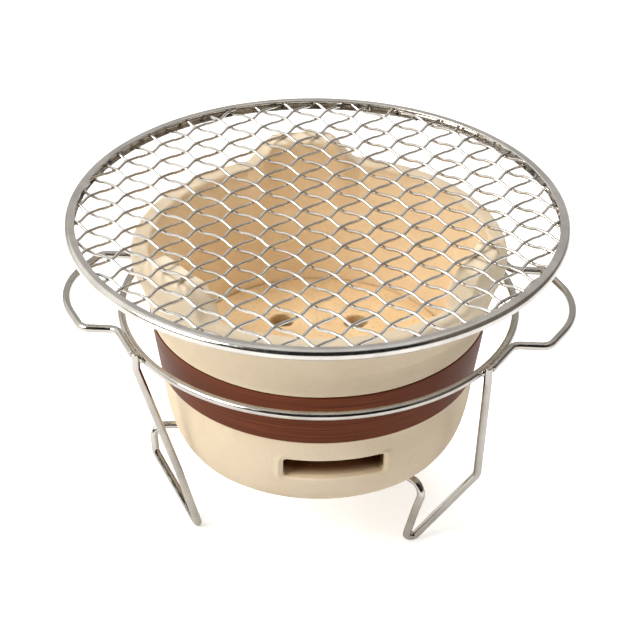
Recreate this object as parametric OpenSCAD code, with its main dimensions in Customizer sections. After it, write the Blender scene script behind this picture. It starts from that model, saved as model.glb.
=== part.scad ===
// Portable tabletop grill: a clay fire bowl carried in a bent-wire stand, with a lift-off
// round net. The origin is on the table below the bowl's axis. +X runs along the handles
// to the right one, and -Y is the front, where the two near legs and the air window are.

/* [Net] */
// Outer diameter of the cooking net
net_d = 240; // [230:1:250]
// Height of the channel hoop round the net
rim_h = 5.6; // [5.4:0.1:8]
// Width of the channel hoop, seen from above
rim_w = 5; // [4.6:0.1:7]
// Thickness of the strip that the hoop is rolled from
rim_t = 0.9; // [0.5:0.05:0.95]
// Diameter of a net wire
mesh_d = 1.6; // [1.2:0.05:1.65]
// Distance between neighbouring net wires
mesh_pitch = 12; // [11.5:0.5:18]
// Gap between two net wires where they cross
mesh_gap = 0.1; // [0.05:0.05:0.2]
// How far the middle one of the a wires lies off the hoop's middle
a_offset = -3.6; // [-5:0.1:5]
// How far the middle one of the b wires lies off the hoop's middle
b_offset = 1.4; // [-5:0.1:5]
// Turn of the weave from the line of the handles, degrees
net_turn = 51.2; // [0:0.2:90]
// How far the net lies off the bowl's axis, along X and along Y
net_shift = [-0.8, -2.5]; // [-3:0.1:3]

/* [Bowl] */
// Height of the bowl from its foot to its rim
bowl_h = 104.5; // [96:0.5:115]
// Outer diameter of the bowl at its rim
bowl_d = 181; // [176:1:184]
// Outer diameter of the clay at the top of the band
band_top_d = 162.4; // [158:0.2:166]
// Outer diameter of the clay at the bottom of the band
waist_d = 154; // [150:0.2:158]
// Outer diameter of the foot
foot_d = 127; // [122:1:134]
// Outer diameter of the ring inside the foot that rests on the pegs
foot_ring_d = 116; // [110:1:120]
// Diameter of the recess under the bowl
foot_recess_d = 92; // [70:1:100]
// Depth of the recess under the bowl
foot_recess_h = 5.5; // [2:0.5:8]
// Height of the notches between the three foot pads
notch_h = 2.2; // [1:0.1:4]
// Angle that one foot pad spans
foot_pad_angle = 42; // [30:1:60]
// Height of the ash space's floor above the foot, level with the air window's sill
floor_h = 19.5; // [18:0.5:20]
// Diameter of the ash space below the charcoal plate
ash_d = 120; // [112:1:126]
// How much narrower the ash space is at its floor, on each side
ash_taper = 4; // [1:0.5:8]
// Height of the seat that carries the charcoal plate, above the foot
seat_h = 33; // [32:0.5:36]
// Wall thickness at the rim
rim_wall = 9; // [7:0.5:11]
// Wall thickness at the top of the band
band_wall = 7; // [6:0.5:8]
// Turn of the bowl in its stand, degrees
bowl_turn = 9.5; // [-25:0.5:25]

/* [Lugs] */
// Height of the three lugs above the rim
lug_h = 14; // [8:0.5:18]
// Length of a lug's flat top, round the rim
lug_top_w = 31; // [22:1:40]
// Length of a lug at the rim
lug_base_w = 54; // [44:1:66]
// How far a lug reaches inwards from the outer wall
lug_depth = 14; // [11:0.5:18]
// How far a lug's outer face leans in at its top
lug_draft = 1.5; // [0:0.5:3]

/* [Air window] */
// Width of the air window
window_w = 48; // [30:1:56]
// Height of the air window
window_h = 11; // [7:0.5:11]

/* [Charcoal plate] */
// Thickness of the charcoal plate
plate_t = 10; // [6:0.5:14]
// Diameter of the charcoal plate
plate_d = 134; // [130:1:134.6]
// Diameter of a hole in the plate
plate_hole_d = 12; // [8:0.5:16]
// Distance of the outer holes from the plate's middle
plate_hole_r = 32; // [26:1:44]
// Number of holes round the middle one
plate_holes = 5; // [3:1:7]
// Turn of the holes from the window's right side, degrees
plate_turn = 47.5; // [0:0.5:72]

/* [Band] */
// Height of the brown band
band_h = 28.5; // [20:0.5:32]
// Height of the band's lower edge above the foot
band_sill_h = 42.5; // [38:0.5:46]
// Thickness of the band's strip
band_t = 0.9; // [0.6:0.1:1.5]

/* [Stand] */
// Diameter of the stand's wire
wire_d = 4; // [3:0.25:4.5]
// Diameter of the stand's ring, to the middle of its wire
ring_d = 192; // [184:1:200]
// Height of the ring above the table
ring_h = 114.5; // [100:0.5:125]
// Height of the middle of the pegs that carry the bowl
peg_h = 41.2; // [36:0.2:50]
// Distance from the axis to a peg's inner end
peg_end_r = 47; // [40:1:52]
// Turn of each front leg's weld from the front, degrees
leg_turn = 55.5; // [50:0.5:62]
// Height of a leg's top above the middle of the ring
leg_top_h = 4; // [1:0.5:4]
// How far a leg runs straight down below the middle of the ring
leg_neck_h = 5; // [3:0.5:8]
// Inside radius of the stand's ordinary bends
bend_r = 4; // [3:0.25:5]
// Inside radius of the tight bend at a foot
foot_bend_r = 1.1; // [0.8:0.1:1.5]
// Height of the outer bend in a leg
outer_bend_h = 45; // [38:0.5:56]
// Height of the inner lower bend in a leg
inner_bend_h = 27; // [24:0.5:28]
// Left leg: distances from the axis of outer bend, foot, inner bend and peg bend
left_leg_r = [81, 67.5, 82, 83]; // [55:0.5:95]
// Left leg: turns from its weld of outer bend, foot, inner bend and peg bend, degrees
left_leg_turn = [2, -4, -28, -30]; // [-40:0.5:40]
// Right leg: the same distances
right_leg_r = [90.5, 61, 69.5, 73.5]; // [55:0.5:95]
// Right leg: the same turns, degrees
right_leg_turn = [7.5, -3.5, -7.5, -6.5]; // [-40:0.5:40]
// Rear leg: the same distances
rear_leg_r = [85.5, 64, 76, 78]; // [55:0.5:95]
// Rear leg: the same turns, degrees
rear_leg_turn = [5, -4, -18, -18]; // [-40:0.5:40]

/* [Handles] */
// Distance between the two bars of a handle
handle_w = 68; // [60:1:80]
// Distance from the axis to the outermost wire of a handle, to its middle
handle_reach = 123.5; // [120:0.5:130]
// Height of a handle above the middle of the ring
handle_rise = 1.8; // [0:0.2:3]
// Radius of a handle's curved outer side
handle_side_r = 45; // [30:1:52]
// Turn of a handle's side where it meets the bars, degrees
handle_side_turn = 28; // [20:1:40]

/* [Clearances] */
// Gap under a piece that rests on another
seat_gap = 0.3; // [0.2:0.05:0.5]
// Gap between two wires that are welded side by side
weld_gap = 0.05; // [0.03:0.01:0.1]
// Gap between the band and the clay
band_gap = 0.3; // [0.2:0.05:0.4]

/* [Hidden] */
$fn = 64;
ease = 0.01;
// A bend is this much fuller than the straights, which end this far inside it.
bend_swell = 0.01;
bend_lap = 0.1;
wire_r = wire_d / 2;
mesh_r = mesh_d / 2;
mesh_sides = 6;

// Heights of the pieces that rest on one another.
bowl_z = peg_h + wire_r + seat_gap;
plate_z = bowl_z + seat_h + seat_gap;
lug_top_z = bowl_z + bowl_h + lug_h;
crimp = mesh_r + mesh_gap / 2;
net_z = lug_top_z + seat_gap + crimp + mesh_r;

// The bowl's wall, half sizes.
bowl_r = bowl_d / 2;
band_top_r = band_top_d / 2;
waist_r = waist_d / 2;
foot_r = foot_d / 2;
ash_r = ash_d / 2;
plate_r = plate_d / 2;
band_top_h = band_sill_h + band_h;
seat_r = plate_r + 2 * seat_gap;
third = 120;
lug_turns = [0, third, 2 * third];
lug_inner_r = bowl_r - lug_depth;
lug_end_turn = asin(lug_base_w / 2 / lug_inner_r);
lug_end_lap = 0.5;
lintel_h = floor_h + window_h;

// The net's wires: the offset of each from the hoop's middle, for both ways of the weave.
net_r = net_d / 2;
mesh_limit = net_r - rim_w - mesh_d;
mesh_reach = net_r - rim_h / 2 + seat_gap;
function wire_numbers(shift) =
    [for (k = [ceil((-mesh_limit - shift) / mesh_pitch) : floor((mesh_limit - shift) / mesh_pitch)]) k];
a_numbers = wire_numbers(a_offset);
b_numbers = wire_numbers(b_offset);
a_names = [for (i = [1 : len(a_numbers)]) str("net_wire_a_", i)];
b_names = [for (i = [1 : len(b_numbers)]) str("net_wire_b_", i)];

// The stand's welds. A welded wire lies against the outside of the ring.
ring_r = ring_d / 2;
weld_r = ring_r + wire_d + weld_gap;
bend_mid_r = bend_r + wire_r;
foot_mid_r = foot_bend_r + wire_r;
front_turn = 270;
tail_gap = 0.2;
handle_tail_turn = front_turn - 360 + leg_turn + asin((wire_r + tail_gap) / weld_r);
handle_z = ring_h + handle_rise;
tail_r = ring_r + sqrt(pow(wire_d + weld_gap, 2) - pow(handle_rise, 2));

steel = "#c9c8c4";
clay = "#e6d3b3";

// A point given by its distance from the axis, its turn and its height.
function polar(r, turn, z) = [r * cos(turn), r * sin(turn), z];
function unit(v) = v / norm(v);

// Bends of a wire along the points p: its direction and turn, and how far from a bend's
// corner a straight ends.
function way(p, i) = unit(p[i + 1] - p[i]);
function turn_at(p, i) = acos(way(p, i - 1) * way(p, i));
function end_gap(p, r, i) =
    (i == 0 || i == len(p) - 1) ? 0 : r[i - 1] * tan(turn_at(p, i) / 2) - bend_lap;

// A straight round wire from a to b.
module straight_wire(a, b, d) {
    v = b - a;
    translate(a)
        rotate([0, acos(v[2] / norm(v)), atan2(v[1], v[0])])
            cylinder(h = norm(v), d = d);
}

// One bend, from the straight that comes in along u to the one that leaves along w.
module wire_bend(corner, u, w, r, d) {
    turn = acos(u * w);
    axis = unit(cross(u, w));
    out = cross(u, axis);
    mid = corner - u * (r * tan(turn / 2)) - out * r;
    multmatrix([
        [out[0], u[0], axis[0], mid[0]],
        [out[1], u[1], axis[1], mid[1]],
        [out[2], u[2], axis[2], mid[2]],
        [0, 0, 0, 1]
    ])
        rotate_extrude(angle = turn)
            translate([r, 0])
                circle(r = d / 2 + bend_swell);
}

// A round wire through the points p, with the bend radii r at its inner points.
module bent_wire(p, r, d) {
    for (i = [0 : len(p) - 2])
        straight_wire(
            p[i] + way(p, i) * end_gap(p, r, i),
            p[i + 1] - way(p, i) * end_gap(p, r, i + 1),
            d
        );
    for (i = [1 : len(p) - 2])
        wire_bend(p[i], way(p, i - 1), way(p, i), r[i - 1], d);
}

// The clay wall's outside, from the foot to the band, as a quarter of an ellipse.
function lower_wall() = [
    for (t = [0 : 10 : 90])
        [foot_r + (waist_r - foot_r) * sin(t), band_sill_h * (1 - cos(t))]
];

// Half the bowl's section, as [distance from the axis, height above the foot].
rim_round = 2;
rim_bevel = 1.5;
collar_h = 12;
collar_flare = 2.7;
crease_h = 3;
crease_w = 1;
bowl_section = concat(
    [[foot_recess_d / 2, 0]],
    lower_wall(),
    [
        [band_top_r, band_top_h],
        [band_top_r + collar_flare, band_top_h + collar_h],
        [band_top_r + collar_flare + crease_w, band_top_h + collar_h + crease_h],
        [bowl_r - rim_round, bowl_h - 3 * rim_round],
        [bowl_r, bowl_h - rim_round],
        [bowl_r, bowl_h + rim_round],
        [bowl_r - rim_wall, bowl_h + rim_round],
        [bowl_r - rim_wall, bowl_h - rim_round],
        [band_top_r - band_wall, band_top_h],
        [seat_r, seat_h + plate_t + seat_gap],
        [seat_r, seat_h],
        [ash_r, seat_h],
        [ash_r - ash_taper, floor_h],
        [0, floor_h],
        [0, foot_recess_h],
        [foot_recess_d / 2, foot_recess_h]
    ]
);

// The bowl is one fired piece. It is drawn as level courses that stand on one another, so
// that each is a simple ring, and as three lugs that stand on its rim.
module placed_bowl() {
    color(clay)
        translate([0, 0, bowl_z])
            rotate(bowl_turn)
                children();
}

// The bowl's body of revolution between two heights.
module course(low, high) {
    rotate_extrude()
        intersection() {
            polygon(bowl_section);
            translate([0, low])
                square([bowl_d, high - low]);
        }
}

// A round ring piece with the given section, between two lugs or two foot pads.
module between(gap) {
    rotate(third / 2 - gap / 2)
        rotate_extrude(angle = gap)
            children();
}

// What lies within a lug's length at +X, with ends that slope from base_w to top_w.
module lug_length(low, high, base_w, top_w) {
    translate([bowl_r + rim_round, 0, bowl_h])
        rotate([90, 0, -90])
            linear_extrude(height = lug_depth + 4 * rim_round)
                polygon([
                    [-base_w / 2, low],
                    [base_w / 2, low],
                    [top_w / 2, high],
                    [-top_w / 2, high]
                ]);
}

// A ring piece at +X that spans a lug.
module lug_arc() {
    span = lug_end_turn + lug_end_lap;
    rotate(-span)
        rotate_extrude(angle = 2 * span)
            children();
}

// The wall is thicker under a lug, from the rim down to a little above the band.
module lug_root() {
    root_h = bowl_h - band_top_h - rim_round;
    intersection() {
        lug_arc()
            polygon([
                [lug_inner_r, bowl_h - root_h],
                [lug_inner_r + rim_round, bowl_h - root_h],
                [bowl_r - rim_wall + rim_round, bowl_h - rim_round],
                [bowl_r - rim_wall + rim_round, bowl_h + 2 * rim_round],
                [lug_inner_r, bowl_h + 2 * rim_round]
            ]);
        lug_length(-root_h - rim_round, 3 * rim_round, lug_base_w, lug_base_w);
    }
}

module lug() {
    outer_r = bowl_r - lug_draft;
    intersection() {
        lug_arc()
            polygon([
                [lug_inner_r, bowl_h],
                [bowl_r, bowl_h],
                [outer_r, bowl_h + lug_h - rim_round],
                [outer_r - rim_round, bowl_h + lug_h],
                [lug_inner_r + rim_round, bowl_h + lug_h],
                [lug_inner_r, bowl_h + lug_h - rim_round]
            ]);
        lug_length(0, lug_h, lug_base_w, lug_top_w);
    }
}

module bowl_base() {
    placed_bowl()
        difference() {
            course(-notch_h, floor_h);
            for (turn = lug_turns)
                rotate(90 + turn)
                    between(third - foot_pad_angle)
                        translate([foot_ring_d / 2, -notch_h])
                            square([foot_r, 2 * notch_h]);
        }
}

module window_course() {
    placed_bowl()
        difference() {
            course(floor_h, lintel_h);
            translate([-window_w / 2, -bowl_r, floor_h - window_h])
                cube([window_w, bowl_r - ash_r / 2, 3 * window_h]);
        }
}

module plate_seat() {
    placed_bowl()
        course(lintel_h, seat_h);
}

// The wall's rim is bevelled on both edges between the lugs.
module bowl_wall() {
    bevel = rim_bevel;
    inner_r = bowl_r - rim_wall;
    placed_bowl()
        difference() {
            union() {
                course(seat_h, bowl_h + 2 * rim_round);
                for (turn = lug_turns)
                    rotate(90 + turn)
                        lug_root();
            }
            translate([0, 0, bowl_h])
                cylinder(h = lug_h, d = 2 * bowl_d);
            for (turn = lug_turns)
                rotate(90 + turn)
                    between(third - 2 * (lug_end_turn + lug_end_lap)) {
                        polygon([
                            [bowl_r - 2 * bevel, bowl_h + bevel],
                            [bowl_r + bevel, bowl_h - 2 * bevel],
                            [bowl_r + bevel, bowl_h + bevel]
                        ]);
                        polygon([
                            [inner_r + 2 * bevel, bowl_h + bevel],
                            [inner_r - bevel, bowl_h + bevel],
                            [inner_r - bevel, bowl_h - 2 * bevel]
                        ]);
                    }
        }
}

module rear_lug() {
    placed_bowl()
        rotate(90 + lug_turns[0])
            lug();
}

module left_lug() {
    placed_bowl()
        rotate(90 + lug_turns[1])
            lug();
}

module right_lug() {
    placed_bowl()
        rotate(90 + lug_turns[2])
            lug();
}

module charcoal_plate() {
    color("#c9a878")
        translate([0, 0, plate_z])
            rotate(bowl_turn + plate_turn)
                difference() {
                    cylinder(h = plate_t, r = plate_r);
                    for (turn = [0 : 360 / plate_holes : 359])
                        rotate(turn)
                            translate([plate_hole_r, 0, -1])
                                cylinder(h = plate_t + 2, d = plate_hole_d);
                    translate([0, 0, -1])
                        cylinder(h = plate_t + 2, d = plate_hole_d);
                }
}

module brown_band() {
    color("#6b3322")
        translate([0, 0, bowl_z])
            rotate_extrude()
                polygon([
                    [waist_r + band_gap, band_sill_h],
                    [waist_r + band_gap + band_t, band_sill_h],
                    [band_top_r + band_gap + band_t, band_top_h],
                    [band_top_r + band_gap, band_top_h]
                ]);
}

// The hoop is a strip rolled into a channel that is open towards the net.
module net_rim() {
    half_h = rim_h / 2;
    slot_h = rim_h - 2 * rim_t;
    color(steel)
        translate([net_shift[0], net_shift[1], net_z])
            rotate_extrude()
                difference() {
                    union() {
                        translate([net_r - half_h, 0])
                            circle(r = half_h);
                        translate([net_r - rim_w, -half_h])
                            square([rim_w - half_h, rim_h]);
                    }
                    translate([net_r - half_h, 0])
                        circle(d = slot_h);
                    translate([net_r - rim_w - 1, -slot_h / 2])
                        square([rim_w - half_h + 1, slot_h]);
                }
}

// Height of a crimped wire, from +1 over a crossing wire to -1 under the next one.
function zigzag(t) = 1 - 2 * abs(t - 2 * round(t / 2));

// A crimped wire along X at the given offset, crossing the wires numbered in crossings.
module crimped_wire(offset, crossings, shift, side, number) {
    half = sqrt(pow(mesh_reach, 2) - pow(abs(offset) + mesh_r, 2));
    stops = [
        for (k = crossings)
            let (x = shift + k * mesh_pitch)
                if (abs(x) < half - mesh_r) x
    ];
    xs = concat([-half], stops, [half]);
    rings = len(xs);
    n = mesh_sides;
    points = [
        for (x = xs)
            let (z = side * crimp * zigzag((x - shift) / mesh_pitch + number))
                for (i = [0 : n - 1])
                    let (a = 360 * (i + 0.5) / n + 90)
                        [x, offset + mesh_r * cos(a), z + mesh_r * sin(a)]
    ];
    walls = [
        for (k = [0 : rings - 2], i = [0 : n - 1])
            let (a = k * n + i, b = k * n + (i + 1) % n)
                each [[a, b, b + n], [a, b + n, a + n]]
    ];
    first_cap = [for (i = [1 : n - 2]) [0, i + 1, i]];
    last = (rings - 1) * n;
    last_cap = [for (i = [1 : n - 2]) [last, last + i, last + i + 1]];
    polyhedron(points, concat(walls, first_cap, last_cap));
}

module net_wire_a(i) {
    k = a_numbers[i];
    color(steel)
        translate([net_shift[0], net_shift[1], net_z])
            rotate(net_turn)
                crimped_wire(a_offset + k * mesh_pitch, b_numbers, b_offset, -1, k);
}

// The b wires run along Y in the weave, so their own X is the weave's Y.
module net_wire_b(i) {
    k = b_numbers[i];
    color(steel)
        translate([net_shift[0], net_shift[1], net_z])
            rotate(net_turn + 90)
                crimped_wire(-b_offset - k * mesh_pitch, a_numbers, a_offset, 1, k);
}

module stand_ring() {
    color(steel)
        translate([0, 0, ring_h])
            rotate_extrude()
                translate([ring_r, 0])
                    circle(d = wire_d);
}

// The right handle. Its two tails lie along the outside of the ring, which each touches
// with the middle of its length.
module handle() {
    half_w = handle_w / 2;
    half_tail = (-handle_tail_turn - asin(half_w / tail_r)) / 2;
    end_r = tail_r / cos(half_tail);
    bar_x = sqrt(pow(end_r, 2) - pow(half_w, 2));
    side_x = handle_reach + handle_side_r * (1 / cos(handle_side_turn) - 1);
    corner_x = side_x - half_w * tan(handle_side_turn);
    tail = polar(end_r, handle_tail_turn, handle_z);
    bent_wire(
        [
            tail,
            [bar_x, -half_w, handle_z],
            [corner_x, -half_w, handle_z],
            [side_x, 0, handle_z],
            [corner_x, half_w, handle_z],
            [bar_x, half_w, handle_z],
            [tail[0], -tail[1], handle_z]
        ],
        [bend_mid_r, bend_mid_r, handle_side_r, bend_mid_r, bend_mid_r],
        wire_d
    );
}

module right_handle() {
    color(steel)
        handle();
}

module left_handle() {
    color(steel)
        mirror([1, 0, 0])
            handle();
}

// Lowest point of the tight bend at a foot, whose straights meet at corner.
function foot_low(a, corner, b) =
    let (
        u = unit(corner - a),
        w = unit(b - corner),
        turn = acos(u * w),
        axis = unit(cross(u, w)),
        mid = corner - u * (foot_mid_r * tan(turn / 2)) - cross(u, axis) * foot_mid_r
    )
        mid[2] - foot_mid_r * sqrt(1 - pow(axis[2], 2)) - wire_r - bend_swell;

// The corner of the foot bend: its bend ends at the tip, and is lowered until it
// stands on the table.
function foot_corner(a, corner, b, steps = 8) =
    steps == 0
        ? corner
        : foot_corner(a, corner - [0, 0, foot_low(a, corner, b)], b, steps - 1);

// A leg goes down from its weld, out to the foot, up inside and in under the bowl.
module leg(weld_turn, r, turn) {
    outer = polar(r[0], weld_turn + turn[0], outer_bend_h);
    tip = polar(r[1], weld_turn + turn[1], wire_r);
    inner = polar(r[2], weld_turn + turn[2], inner_bend_h);
    peg = polar(r[3], weld_turn + turn[3], peg_h);
    u = unit(tip - outer);
    w = unit(inner - tip);
    tip_gap = foot_mid_r * (1 / cos(acos(u * w) / 2) - 1);
    foot = foot_corner(outer, tip + unit(u - w) * tip_gap, inner);
    bent_wire(
        [
            polar(weld_r, weld_turn, ring_h + leg_top_h),
            polar(weld_r, weld_turn, ring_h - leg_neck_h),
            outer,
            foot,
            inner,
            peg,
            polar(peg_end_r, weld_turn + turn[3], peg_h)
        ],
        [bend_mid_r, bend_mid_r, foot_mid_r, bend_mid_r, bend_mid_r],
        wire_d
    );
}

module left_leg() {
    color(steel)
        leg(front_turn - leg_turn, left_leg_r, left_leg_turn);
}

module right_leg() {
    color(steel)
        leg(front_turn + leg_turn, right_leg_r, right_leg_turn);
}

module rear_leg() {
    color(steel)
        leg(front_turn + 180, rear_leg_r, rear_leg_turn);
}

bowl_base();
window_course();
plate_seat();
bowl_wall();
rear_lug();
left_lug();
right_lug();
charcoal_plate();
brown_band();
net_rim();
for (i = [0 : len(a_names) - 1])
    net_wire_a(i);
for (i = [0 : len(b_names) - 1])
    net_wire_b(i);
stand_ring();
left_handle();
right_handle();
left_leg();
right_leg();
rear_leg();
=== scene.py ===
import math

import bpy
import bmesh
import numpy as np
from mathutils import Matrix, Vector, geometry, noise


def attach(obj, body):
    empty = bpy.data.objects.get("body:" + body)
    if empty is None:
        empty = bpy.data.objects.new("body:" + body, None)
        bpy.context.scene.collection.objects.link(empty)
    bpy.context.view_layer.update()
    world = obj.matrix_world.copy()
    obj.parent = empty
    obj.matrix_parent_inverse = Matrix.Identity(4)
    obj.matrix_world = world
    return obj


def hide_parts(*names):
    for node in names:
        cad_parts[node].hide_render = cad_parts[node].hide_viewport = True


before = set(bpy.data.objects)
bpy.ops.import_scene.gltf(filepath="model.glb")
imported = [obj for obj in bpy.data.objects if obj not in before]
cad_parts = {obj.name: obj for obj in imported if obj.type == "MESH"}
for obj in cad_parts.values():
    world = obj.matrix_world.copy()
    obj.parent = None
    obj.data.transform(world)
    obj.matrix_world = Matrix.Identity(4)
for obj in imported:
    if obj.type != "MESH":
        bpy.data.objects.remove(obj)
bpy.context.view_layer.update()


# Sizes, as in the CAD model. A name with TURN is an angle in degrees, one with R a radius.
# Where the pieces sit.
BOWL_Z = 43.5
BOWL_TURN = 9.5
PLATE_Z = 76.8
PLATE_TURN = BOWL_TURN + 47.5
NET_Z = 163.95
NET_TURN = 51.2
NET_SHIFT = (-0.8, -2.5)

# The clay bowl, with heights above its own foot.
FOOT_RECESS = 5.5
ASH_FLOOR = 19.15
WINDOW_MID = 25.0
WINDOW_HALF_W = 24.0
WINDOW_HALF_H = 5.5
WINDOW_CORNER = 1.8
COLLAR_TOP = 101.7
RIM_H = 104.5
RIM_OUT_R = 90.45
RIM_IN_R = 81.5
RIM_ROUND = 2.2
LUG_H = 14
LUG_IN_R = 76.5
LUG_HALF_W = 27
LUG_SLOPE_W = 11.5
LUG_LEAN = 1.5

# The charcoal plate.
PLATE_R = 67.0
PLATE_THICK = 10.0
PLATE_EDGE = 1.2
HOLE_R = 6.0
HOLE_RING_R = 32
HOLES_ROUND = 5

# The wire stand.
RING_R = 96.0
RING_H = 114.5
WIRE_R = 2.0
WIRE_SIDES = 24
WELD_R = 100.05
LEG_TURN = 55.5
LEG_TOP = 4
LEG_NECK = 5
OUTER_BEND_H = 45
INNER_BEND_H = 27
PEG_H = 41.2
PEG_END_R = 47.0
BEND_R = 6.0
FOOT_BEND_R = 3.1
FOOT_CLEAR = 0.01
HANDLE_Z = 116.3
HANDLE_HALF_W = 34.0
HANDLE_REACH = 123.5
HANDLE_SIDE_R = 45.0
HANDLE_SIDE_TURN = 28.0
TAIL_CLEAR = 0.2

# The cooking net: its hoop and its crimped wires, a and b by the way they run.
HOOP_R = 120
HOOP_HALF = 2.8
HOOP_BORE = 1.9
HOOP_DEPTH = 5
PITCH = 12.0
A_OFFSET = -3.6
B_OFFSET = 1.4
REACH = 117.5
MESH_R = 0.8
MESH_SIDES = 10
LIMIT = HOOP_R - HOOP_DEPTH - 2 * MESH_R
CRIMP = 0.85
STEP_A = -0.22
STEP_B = -0.08


def smooth(a, b, x):
    t = np.clip((np.asarray(x, float) - a) / (b - a), 0, 1)
    return t * t * (3 - 2 * t)


def soft_clamp(x, k=0.07):
    """x held between 0 and 1, with soft corners."""
    return k * (np.logaddexp(0, x / k) - np.logaddexp(0, (x - 1) / k))


def lumps(points, size, seed):
    """Noise from -1 to 1 at each point, with lumps of about that size."""
    return np.array([noise.noise(Vector(p) / size + Vector((seed, 0, 0))) for p in points])


def unit(v):
    return v / np.linalg.norm(v)


def cos_sin(degrees):
    a = math.radians(degrees)
    return math.cos(a), math.sin(a)


def polar(r, turn, z):
    c, s = cos_sin(turn)
    return np.array([r * c, r * s, z])


def moved(points, turn, shift):
    """The points turned about the upright axis, then shifted."""
    c, s = cos_sin(turn)
    x = points[:, 0] * c - points[:, 1] * s + shift[0]
    y = points[:, 0] * s + points[:, 1] * c + shift[1]
    return np.stack([x, y, points[:, 2] + shift[2]], axis=1)


def stitch(loops):
    """Faces between each closed loop of point numbers and the next."""
    faces = []
    for one, two in zip(loops, loops[1:]):
        count = len(one)
        for k in range(count):
            m = (k + 1) % count
            faces.append((one[k], one[m], two[m], two[k]))
    return faces


def corner_sides(a, b, c):
    """Directions from the corner b to its neighbours, and half the angle between them."""
    u, w = unit(a - b), unit(c - b)
    return u, w, math.acos(max(-1, min(1, float(u @ w)))) / 2


def eased_corner(b, u, w, cut, steps):
    """A soft curve round the corner b, from one side to the other."""
    curve = []
    for k in range(steps + 1):
        t = k / steps
        curve.append((1 - t) ** 2 * (b + u * cut) + 2 * t * (1 - t) * b + t * t * (b + w * cut))
    return curve


def make_piece(name, verts, faces, material, body, nodes=(), inside=None):
    """A smooth-shaded piece that rides on the body and stands for the nodes.

    inside is 0 on the bowl's outer skin (painted shade), 1 in the fire bowl (painted bounce light) and 2
    in the ash space (dark painted shade).
    """
    mesh = bpy.data.meshes.new(name)
    scaled = np.asarray(verts, float) * 0.001
    mesh.from_pydata(scaled.tolist(), [], [list(map(int, f)) for f in faces])
    mesh.validate()
    bm = bmesh.new()
    bm.from_mesh(mesh)
    bmesh.ops.recalc_face_normals(bm, faces=bm.faces)
    bm.to_mesh(mesh)
    bm.free()
    mesh.shade_smooth()
    if inside is not None:
        layer = mesh.attributes.new("inside", "FLOAT", "POINT")
        layer.data.foreach_set("value", np.asarray(inside, np.float32))
    mesh.materials.append(material)
    piece = bpy.data.objects.new(name, mesh)
    bpy.context.scene.collection.objects.link(piece)
    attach(piece, body)
    if nodes:
        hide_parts(*nodes)
    return piece


# ---------------------------------------------------------------- materials

class Paint:
    """A material and short calls for its nodes."""

    def __init__(self, name):
        self.material = bpy.data.materials.new(name)
        self.material.use_nodes = True
        self.tree = self.material.node_tree
        self.tree.nodes.clear()
        out = self.tree.nodes.new("ShaderNodeOutputMaterial")
        self.shader = self.tree.nodes.new("ShaderNodeBsdfPrincipled")
        self.link(self.shader.outputs[0], out.inputs[0])
        self.place = self.tree.nodes.new("ShaderNodeTexCoord").outputs["Object"]

    def link(self, a, b):
        self.tree.links.new(a, b)

    def set(self, **values):
        for key, value in values.items():
            self.shader.inputs[key.replace("_", " ")].default_value = value

    def scaled(self, scale):
        node = self.tree.nodes.new("ShaderNodeMapping")
        node.inputs["Scale"].default_value = scale
        self.link(self.place, node.inputs["Vector"])
        return node.outputs[0]

    def noise(self, scale, detail=3.0, rough=0.55, where=None, distort=0.0):
        node = self.tree.nodes.new("ShaderNodeTexNoise")
        node.inputs["Scale"].default_value = scale
        node.inputs["Detail"].default_value = detail
        node.inputs["Roughness"].default_value = rough
        node.inputs["Distortion"].default_value = distort
        self.link(where or self.place, node.inputs["Vector"])
        return node.outputs[0]

    def ramp(self, fac, stops):
        node = self.tree.nodes.new("ShaderNodeValToRGB")
        band = node.color_ramp
        while len(band.elements) < len(stops):
            band.elements.new(0.5)
        for element, (at, color) in zip(band.elements, stops):
            element.position = at
            element.color = (*color, 1.0)
        self.link(fac, node.inputs[0])
        return node.outputs[0]

    def span(self, fac, a, b, low=0.0, high=1.0):
        node = self.tree.nodes.new("ShaderNodeMapRange")
        node.interpolation_type = "SMOOTHSTEP"
        for key, value in (("From Min", a), ("From Max", b), ("To Min", low), ("To Max", high)):
            node.inputs[key].default_value = value
        self.link(fac, node.inputs["Value"])
        return node.outputs[0]

    def mix(self, fac, a, b):
        node = self.tree.nodes.new("ShaderNodeMix")
        node.data_type = "RGBA"
        for socket, value in ((node.inputs[0], fac), (node.inputs[6], a), (node.inputs[7], b)):
            if isinstance(value, (int, float)):
                socket.default_value = value
            elif isinstance(value, tuple):
                socket.default_value = (*value, 1.0)
            else:
                self.link(value, socket)
        return node.outputs[2]

    def math(self, kind, a, b=0.0):
        node = self.tree.nodes.new("ShaderNodeMath")
        node.operation = kind
        for socket, value in zip(node.inputs, (a, b)):
            if isinstance(value, (int, float)):
                socket.default_value = value
            else:
                self.link(value, socket)
        return node.outputs[0]

    def attribute(self, name):
        node = self.tree.nodes.new("ShaderNodeAttribute")
        node.attribute_name = name
        return node.outputs["Fac"]

    def color(self, value):
        self.link(value, self.shader.inputs["Base Color"])

    def roughness(self, value):
        self.link(value, self.shader.inputs["Roughness"])

    def bump(self, height, distance, before=None):
        node = self.tree.nodes.new("ShaderNodeBump")
        node.inputs["Strength"].default_value = 1.0
        node.inputs["Distance"].default_value = distance
        self.link(height, node.inputs["Height"])
        if before:
            self.link(before, node.inputs["Normal"])
        self.link(node.outputs[0], self.shader.inputs["Normal"])
        return node.outputs[0]


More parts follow.
